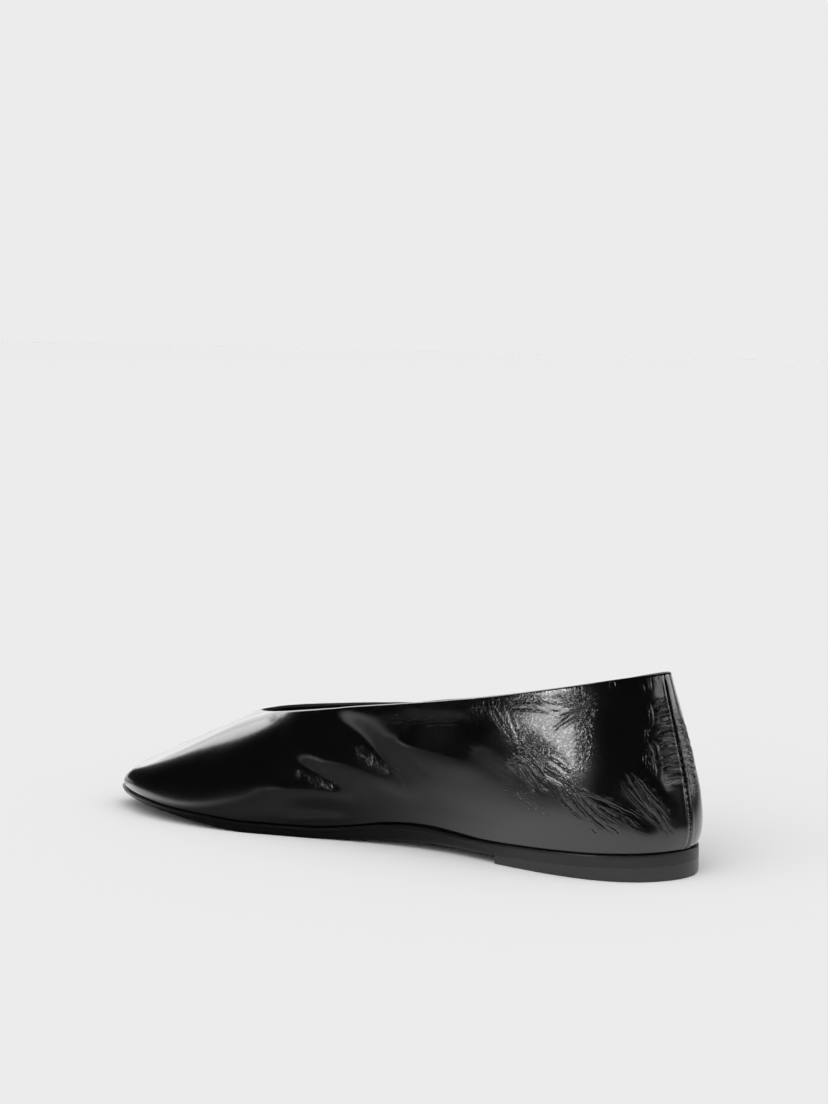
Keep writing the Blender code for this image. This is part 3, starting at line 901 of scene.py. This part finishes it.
def add_node(tree, kind, settings=None, values=None):
    """A new node with its settings, and with a value or a link for each socket named."""
    made = tree.nodes.new(kind)
    for key, value in (settings or {}).items():
        setattr(made, key, value)
    for key, value in (values or {}).items():
        if isinstance(value, bpy.types.NodeSocket):
            tree.links.new(value, made.inputs[key])
        else:
            made.inputs[key].default_value = value
    return made


def compute(tree, operation, *terms):
    """The result of one operation on numbers and sockets."""
    made = add_node(tree, "ShaderNodeMath", {"operation": operation}, dict(enumerate(terms)))
    return made.outputs[0]


def remap(tree, value, low, high, to_low=0.0, to_high=1.0, easing="SMOOTHSTEP"):
    """A value carried from one range to another and held there."""
    spans = {"From Min": low, "From Max": high, "To Min": to_low, "To Max": to_high}
    settings = {"interpolation_type": easing}
    made = add_node(tree, "ShaderNodeMapRange", settings, {"Value": value, **spans})
    return made.outputs["Result"]


def attribute(tree, name, output="Fac"):
    """A named value on the vertices."""
    return add_node(tree, "ShaderNodeAttribute", {"attribute_name": name}).outputs[output]


def noise(tree, vector, scale, detail, dimensions="3D", output="Fac", **more):
    """A noise texture, with more socket values by name."""
    values = {"Vector": vector, "Scale": scale, "Detail": detail, **more}
    settings = {"noise_dimensions": dimensions}
    return add_node(tree, "ShaderNodeTexNoise", settings, values).outputs[output]


def mix(tree, share, first, second):
    """Two shaders mixed by the share of the second."""
    values = {0: share, 1: first, 2: second}
    return add_node(tree, "ShaderNodeMixShader", None, values).outputs[0]


def new_material(name):
    """A material with its node tree and its shader."""
    material = bpy.data.materials.new(name)
    material.use_nodes = True
    tree = material.node_tree
    return material, tree, tree.nodes["Principled BSDF"]


def turned(tree, vector, texture):
    """A place on the wall, turned and stretched for a texture."""
    values = {
        "Vector": vector,
        "Rotation": (0.0, 0.0, math.radians(texture.turn)),
        "Scale": (texture.stretch, texture.size, 1.0),
    }
    made = add_node(tree, "ShaderNodeMapping", {"vector_type": "TEXTURE"}, values)
    return made.outputs["Vector"]


def crinkle(tree, vector, texture):
    """Puffed leather between sharp creases that run at an angle, as a height from 0 to 1."""
    place = turned(tree, vector, texture)
    waves = noise(
        tree,
        place,
        1.0,
        CRINKLE_DETAIL,
        "2D",
        Roughness=CRINKLE_ROUGHNESS,
        Distortion=CRINKLE_DISTORTION,
    )
    centred = compute(tree, "MULTIPLY_ADD", waves, 2.0, -1.0)
    return compute(tree, "POWER", compute(tree, "ABSOLUTE", centred), CRINKLE_PUFF)


def net(tree, vector, texture):
    """A fine net of wrinkles round puffed cells, as a height from 0 to 1."""
    stray = noise(tree, vector, NET_STRAY_SCALE, SOFT_DETAIL, "2D", "Color")
    shifted = add_node(
        tree,
        "ShaderNodeVectorMath",
        {"operation": "MULTIPLY_ADD"},
        {0: stray, 1: (NET_STRAY, NET_STRAY, 0.0), 2: vector},
    )
    cells = add_node(
        tree,
        "ShaderNodeTexVoronoi",
        {"voronoi_dimensions": "2D", "feature": "DISTANCE_TO_EDGE"},
        {"Vector": turned(tree, shifted.outputs["Vector"], texture), "Scale": 1.0},
    )
    return remap(tree, cells.outputs["Distance"], 0.0, NET_PUFF)


def masked(tree, height, texture):
    """A texture's height scaled by its amount and by its mask on the vertices."""
    mask = compute(tree, "MULTIPLY", attribute(tree, texture.kind), texture.amount)
    return compute(tree, "MULTIPLY", mask, height)


def hairlines(tree, vector, group):
    """One group of placed creases as thin wavering lines with low lips, in millimetres."""
    waves = noise(tree, vector, CREASE_WOBBLE_SCALE, SOFT_DETAIL, "2D")
    wobble = compute(tree, "MULTIPLY_ADD", waves, CREASE_WOBBLE, -CREASE_WOBBLE / 2)
    signed = compute(tree, "ADD", attribute(tree, "crease_%d" % group), wobble)
    reach = compute(tree, "DIVIDE", compute(tree, "ABSOLUTE", signed), CREASE_FAR)
    profile = add_node(tree, "ShaderNodeFloatCurve", None, {"Value": reach})
    curve = profile.mapping.curves[0]
    for rung in HAIRLINE_PROFILE:
        curve.points.new(rung.distance, rung.height)
    curve.points.remove(curve.points[0])
    profile.mapping.update()
    level = compute(tree, "SUBTRACT", profile.outputs["Value"], HAIRLINE_REST)
    return compute(tree, "MULTIPLY", level, attribute(tree, "crease_depth_%d" % group))


def bump(tree, height, distance, shader):
    """Puts a bump of that height in metres on a shader."""
    values = {"Strength": 1.0, "Distance": distance, "Height": height}
    made = add_node(tree, "ShaderNodeBump", None, values)
    tree.links.new(made.outputs["Normal"], shader.inputs["Normal"])


def vary(tree, vector, scale, low, high):
    """A value between low and high that changes in soft patches."""
    patches = noise(tree, vector, scale, SOFT_DETAIL)
    return remap(tree, patches, NOISE_LOW, NOISE_HIGH, low, high, "LINEAR")


def patent_material():
    """Soft black patent: glossy, with crinkled patches where the leather bends."""
    material, tree, shader = new_material("patent_black")
    shader.inputs["Base Color"].default_value = PATENT_COLOUR
    shader.inputs["Specular IOR Level"].default_value = PATENT_SPECULAR
    shader.inputs["Coat Weight"].default_value = PATENT_COAT
    shader.inputs["Coat Roughness"].default_value = PATENT_COAT_ROUGHNESS
    vector = attribute(tree, "wall", "Vector")
    heights = [masked(tree, crinkle(tree, vector, texture), texture) for texture in CRINKLES]
    heights.append(masked(tree, net(tree, vector, NET), NET))
    heights += [hairlines(tree, vector, group) for group in range(CREASE_GROUPS)]
    grain = noise(tree, vector, PATENT_GRAIN_SCALE, FINE_DETAIL)
    heights.append(compute(tree, "MULTIPLY", grain, PATENT_GRAIN))
    total = heights[0]
    for height in heights[1:]:
        total = compute(tree, "ADD", total, height)
    bump(tree, total, MM, shader)
    patches = vary(tree, vector, PATENT_PATCH_SCALE, PATENT_SMOOTHEST, PATENT_ROUGHEST)
    softer = compute(tree, "MULTIPLY", attribute(tree, NET.kind), NET_ROUGHNESS)
    tree.links.new(compute(tree, "ADD", patches, softer), shader.inputs["Roughness"])
    return material


def mottled_material(stuff, finish):
    """A material with patchy roughness, its tree, shader and place, and a mottled colour."""
    material, tree, shader = new_material(stuff.name)
    shader.inputs["Specular IOR Level"].default_value = stuff.specular
    place = add_node(tree, "ShaderNodeTexCoord").outputs["Object"]
    mottle = noise(tree, place, finish.mottle_scale, finish.mottle_detail)
    tint = add_node(tree, "ShaderNodeValToRGB", None, {"Fac": mottle})
    for element, share in zip(tint.color_ramp.elements, (finish.darkest, finish.brightest)):
        element.color = (*[share * part for part in stuff.colour], 1.0)
    low = stuff.roughness - finish.spread
    high = stuff.roughness + finish.spread
    patches = vary(tree, place, finish.patch_scale, low, high)
    tree.links.new(patches, shader.inputs["Roughness"])
    return material, tree, shader, place, tint.outputs["Color"]


def plain_leather(leather):
    """Matt black leather with a fine grain."""
    material, tree, shader, place, colour = mottled_material(leather, LEATHER_FINISH)
    tree.links.new(colour, shader.inputs["Base Color"])
    values = {"Vector": place, "Scale": leather.grain_scale}
    cells = add_node(tree, "ShaderNodeTexVoronoi", {"feature": "SMOOTH_F1"}, values)
    bump(tree, cells.outputs["Distance"], leather.grain_depth, shader)
    return material


def rubber_material(rubber):
    """Satin moulded rubber with faint mottling, darkened ahead of the heel as painted shade."""
    material, tree, shader, place, colour = mottled_material(rubber, RUBBER_FINISH)
    bump(tree, noise(tree, place, SPECKLE_SCALE, FINE_DETAIL), SPECKLE_DEPTH, shader)
    apart = add_node(tree, "ShaderNodeSeparateXYZ", None, {0: place})
    # Painted shade: the colour falls to its kept share ahead of the heel
    ahead = remap(tree, apart.outputs["Y"], PAINTED_SHADE_BACK, PAINTED_SHADE_FRONT, 1.0, rubber.front)
    values = {0: colour, "Scale": ahead}
    toned = add_node(tree, "ShaderNodeVectorMath", {"operation": "SCALE"}, values)
    tree.links.new(toned.outputs["Vector"], shader.inputs["Base Color"])
    return material


def make_sole():
    """The outsole, heel and sock at the shoe's own sizes."""
    outsole = make_mesh("outsole_body", slab_rows(OUTSOLE_PROFILE, 0.0, sole_bottom, sole_top))
    heel_rows = slab_rows(
        HEEL_PROFILE,
        HEEL_INSET,
        lambda x, y: np.zeros_like(x),
        lambda x, y: HEEL_SEAT - HEEL_PITCH * y - HEEL_TOP_GAP,
    )
    heel = make_mesh("heel_block", heel_rows)
    cut_breast(heel)
    insole_rows = slab_rows(
        INSOLE_PROFILE,
        TUCK + WALL + INSOLE_MARGIN,
        lambda x, y: sole_top(x, y) + INSOLE_GAP,
        lambda x, y: sole_top(x, y) + INSOLE_GAP + INSOLE,
    )
    insole = make_mesh("insole_sock", insole_rows)
    return outsole, heel, insole


def painted_gloss_shade(tree, across):
    """The floor's share in the gloss from place to place along the shoe, as painted shade."""
    place = remap(tree, across, GLOSS_SHADE_LOW, GLOSS_SHADE_HIGH, easing="LINEAR")
    gloss_shade = add_node(tree, "ShaderNodeValToRGB", None, {"Fac": place})
    gloss_shade.color_ramp.interpolation = "EASE"
    elements = gloss_shade.color_ramp.elements
    while len(elements) < len(FLOOR_GLOSS_SHADE):
        elements.new(NEW_STOP)
    for element, stop in zip(elements, FLOOR_GLOSS_SHADE):
        element.position = (stop.y - GLOSS_SHADE_LOW) / (GLOSS_SHADE_HIGH - GLOSS_SHADE_LOW)
        element.color = (stop.share, stop.share, stop.share, 1.0)
    return gloss_shade.outputs["Color"]


def floor_material():
    """A pale matt floor with painted shade in the gloss, darkest of all beside the vamp."""
    material = bpy.data.materials.new("floor_pale")
    material.use_nodes = True
    tree = material.node_tree
    tree.nodes.clear()
    place = add_node(tree, "ShaderNodeNewGeometry").outputs["Position"]
    apart = add_node(tree, "ShaderNodeSeparateXYZ", None, {0: place})
    gloss_shade = painted_gloss_shade(tree, apart.outputs["Y"])
    # Painted shade in the gloss deepens under the shoe's inner side
    near = remap(tree, apart.outputs["X"], NEAR_FROM, NEAR_TO, 0.0, NEAR_LOSS)
    lost = compute(tree, "MULTIPLY", compute(tree, "SUBTRACT", 1.0, gloss_shade), near)
    kept = compute(tree, "MULTIPLY", gloss_shade, compute(tree, "SUBTRACT", 1.0, lost))
    distance = add_node(tree, "ShaderNodeVectorMath", {"operation": "LENGTH"}, {0: place})
    fade = remap(tree, distance.outputs["Value"], FADE_FROM, FADE_TO, 1.0, 0.0)
    beside = remap(tree, apart.outputs["X"], OUTER_FROM, OUTER_TO)
    ahead = remap(tree, apart.outputs["Y"], OUTER_BACK, OUTER_FRONT)
    inner = compute(tree, "MULTIPLY", kept, fade)
    share = compute(tree, "MAXIMUM", inner, compute(tree, "MULTIPLY", beside, ahead))
    dark = add_node(tree, "ShaderNodeBsdfDiffuse", None, {"Color": BLACK}).outputs[0]
    pale = add_node(tree, "ShaderNodeBsdfDiffuse", None, {"Color": FLOOR_COLOUR}).outputs[0]
    rays = add_node(tree, "ShaderNodeLightPath")
    # Glossy rays see the floor darkened by its share: painted shade
    shown = mix(tree, rays.outputs["Is Glossy Ray"], pale, mix(tree, share, dark, pale))
    add_node(tree, "ShaderNodeOutputMaterial", None, {"Surface": shown})
    return material


def make_floor():
    """A wide pale floor, which isn't part of the shoe."""
    mesh = bpy.data.meshes.new("floor")
    half = FLOOR_SIZE / 2
    corners = [(-half, -half, 0.0), (half, -half, 0.0), (half, half, 0.0), (-half, half, 0.0)]
    mesh.from_pydata(corners, [], [(0, 1, 2, 3)])
    floor = bpy.data.objects.new("floor", mesh)
    bpy.context.scene.collection.objects.link(floor)
    mesh.materials.append(floor_material())


def make_camera():
    """The camera at the photograph's angle and framing."""
    data = bpy.data.cameras.new("camera")
    data.sensor_width = SENSOR
    data.lens = SENSOR * FOCAL_PIXELS / FRAME_HEIGHT_PIXELS
    data.clip_end = 2 * FLOOR_SIZE
    camera = bpy.data.objects.new("camera", data)
    camera.location = (CAMERA_PLACE + SHIFT) * MM
    camera.rotation_euler = (
        math.radians(90 - CAMERA_PITCH),
        0.0,
        math.radians(CAMERA_HEADING - 90),
    )
    bpy.context.scene.collection.objects.link(camera)
    bpy.context.scene.camera = camera


def make_lamps():
    """Soft area lights for the gloss alone."""
    for lamp in LAMPS:
        data = bpy.data.lights.new(lamp.name, "AREA")
        data.shape = "RECTANGLE"
        data.size = lamp.width
        data.size_y = lamp.height
        data.energy = lamp.radiance * math.pi * lamp.width * lamp.height
        made = bpy.data.objects.new(lamp.name, data)
        aim = Vector(lamp.target) - Vector(lamp.place)
        turn = Quaternion((0.0, 0.0, 1.0), math.radians(lamp.roll))
        facing = aim.to_track_quat("-Z", "Y") @ turn
        made.location = Vector(lamp.place) + facing @ Vector((lamp.slide, 0.0, 0.0))
        made.rotation_euler = facing.to_euler()
        made.visible_camera = False
        made.visible_diffuse = False
        bpy.context.scene.collection.objects.link(made)


def make_world():
    """A sky that lights the floor softly, looks even and pale, and stays dark in the gloss."""
    world = bpy.data.worlds.new("studio")
    world.use_nodes = True
    tree = world.node_tree
    tree.nodes.clear()
    ray = add_node(tree, "ShaderNodeTexCoord").outputs["Generated"]
    values = {0: ray, 1: SKY_FROM}
    facing = add_node(tree, "ShaderNodeVectorMath", {"operation": "DOT_PRODUCT"}, values)
    above = compute(tree, "MAXIMUM", facing.outputs["Value"], 0.0)
    lifted = compute(tree, "ADD", compute(tree, "POWER", above, 2.0), SKY_EVEN)
    strengths = (SKY_IN_GLOSS, compute(tree, "MULTIPLY", lifted, SKY_PEAK), SKY_SEEN)
    gloss, soft, seen = [
        add_node(tree, "ShaderNodeBackground", None, {"Color": WHITE, "Strength": strength}).outputs[0]
        for strength in strengths
    ]
    rays = add_node(tree, "ShaderNodeLightPath")
    lit = mix(tree, rays.outputs["Is Diffuse Ray"], gloss, soft)
    shown = mix(tree, rays.outputs["Is Camera Ray"], lit, seen)
    add_node(tree, "ShaderNodeOutputWorld", None, {"Surface": shown})
    bpy.context.scene.world = world


def dress(piece, material, node):
    """Gives a piece its material and lets it stand for a node of the frame."""
    piece.data.materials.append(material)
    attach(piece, "root")
    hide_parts(node)


def main():
    """Builds the shoe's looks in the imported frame."""
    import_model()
    bpy.context.scene.view_settings.view_transform = "Standard"
    make_camera()
    make_floor()
    make_lamps()
    make_world()
    upper, lining = make_upper()
    outsole, heel, insole = make_sole()
    dress(upper, patent_material(), "upper")
    dress(lining, plain_leather(LINING), "upper")
    dress(outsole, rubber_material(SOLE_RUBBER), "outsole")
    dress(heel, rubber_material(HEEL_RUBBER), "heel")
    dress(insole, plain_leather(SOCK), "insole")


main()
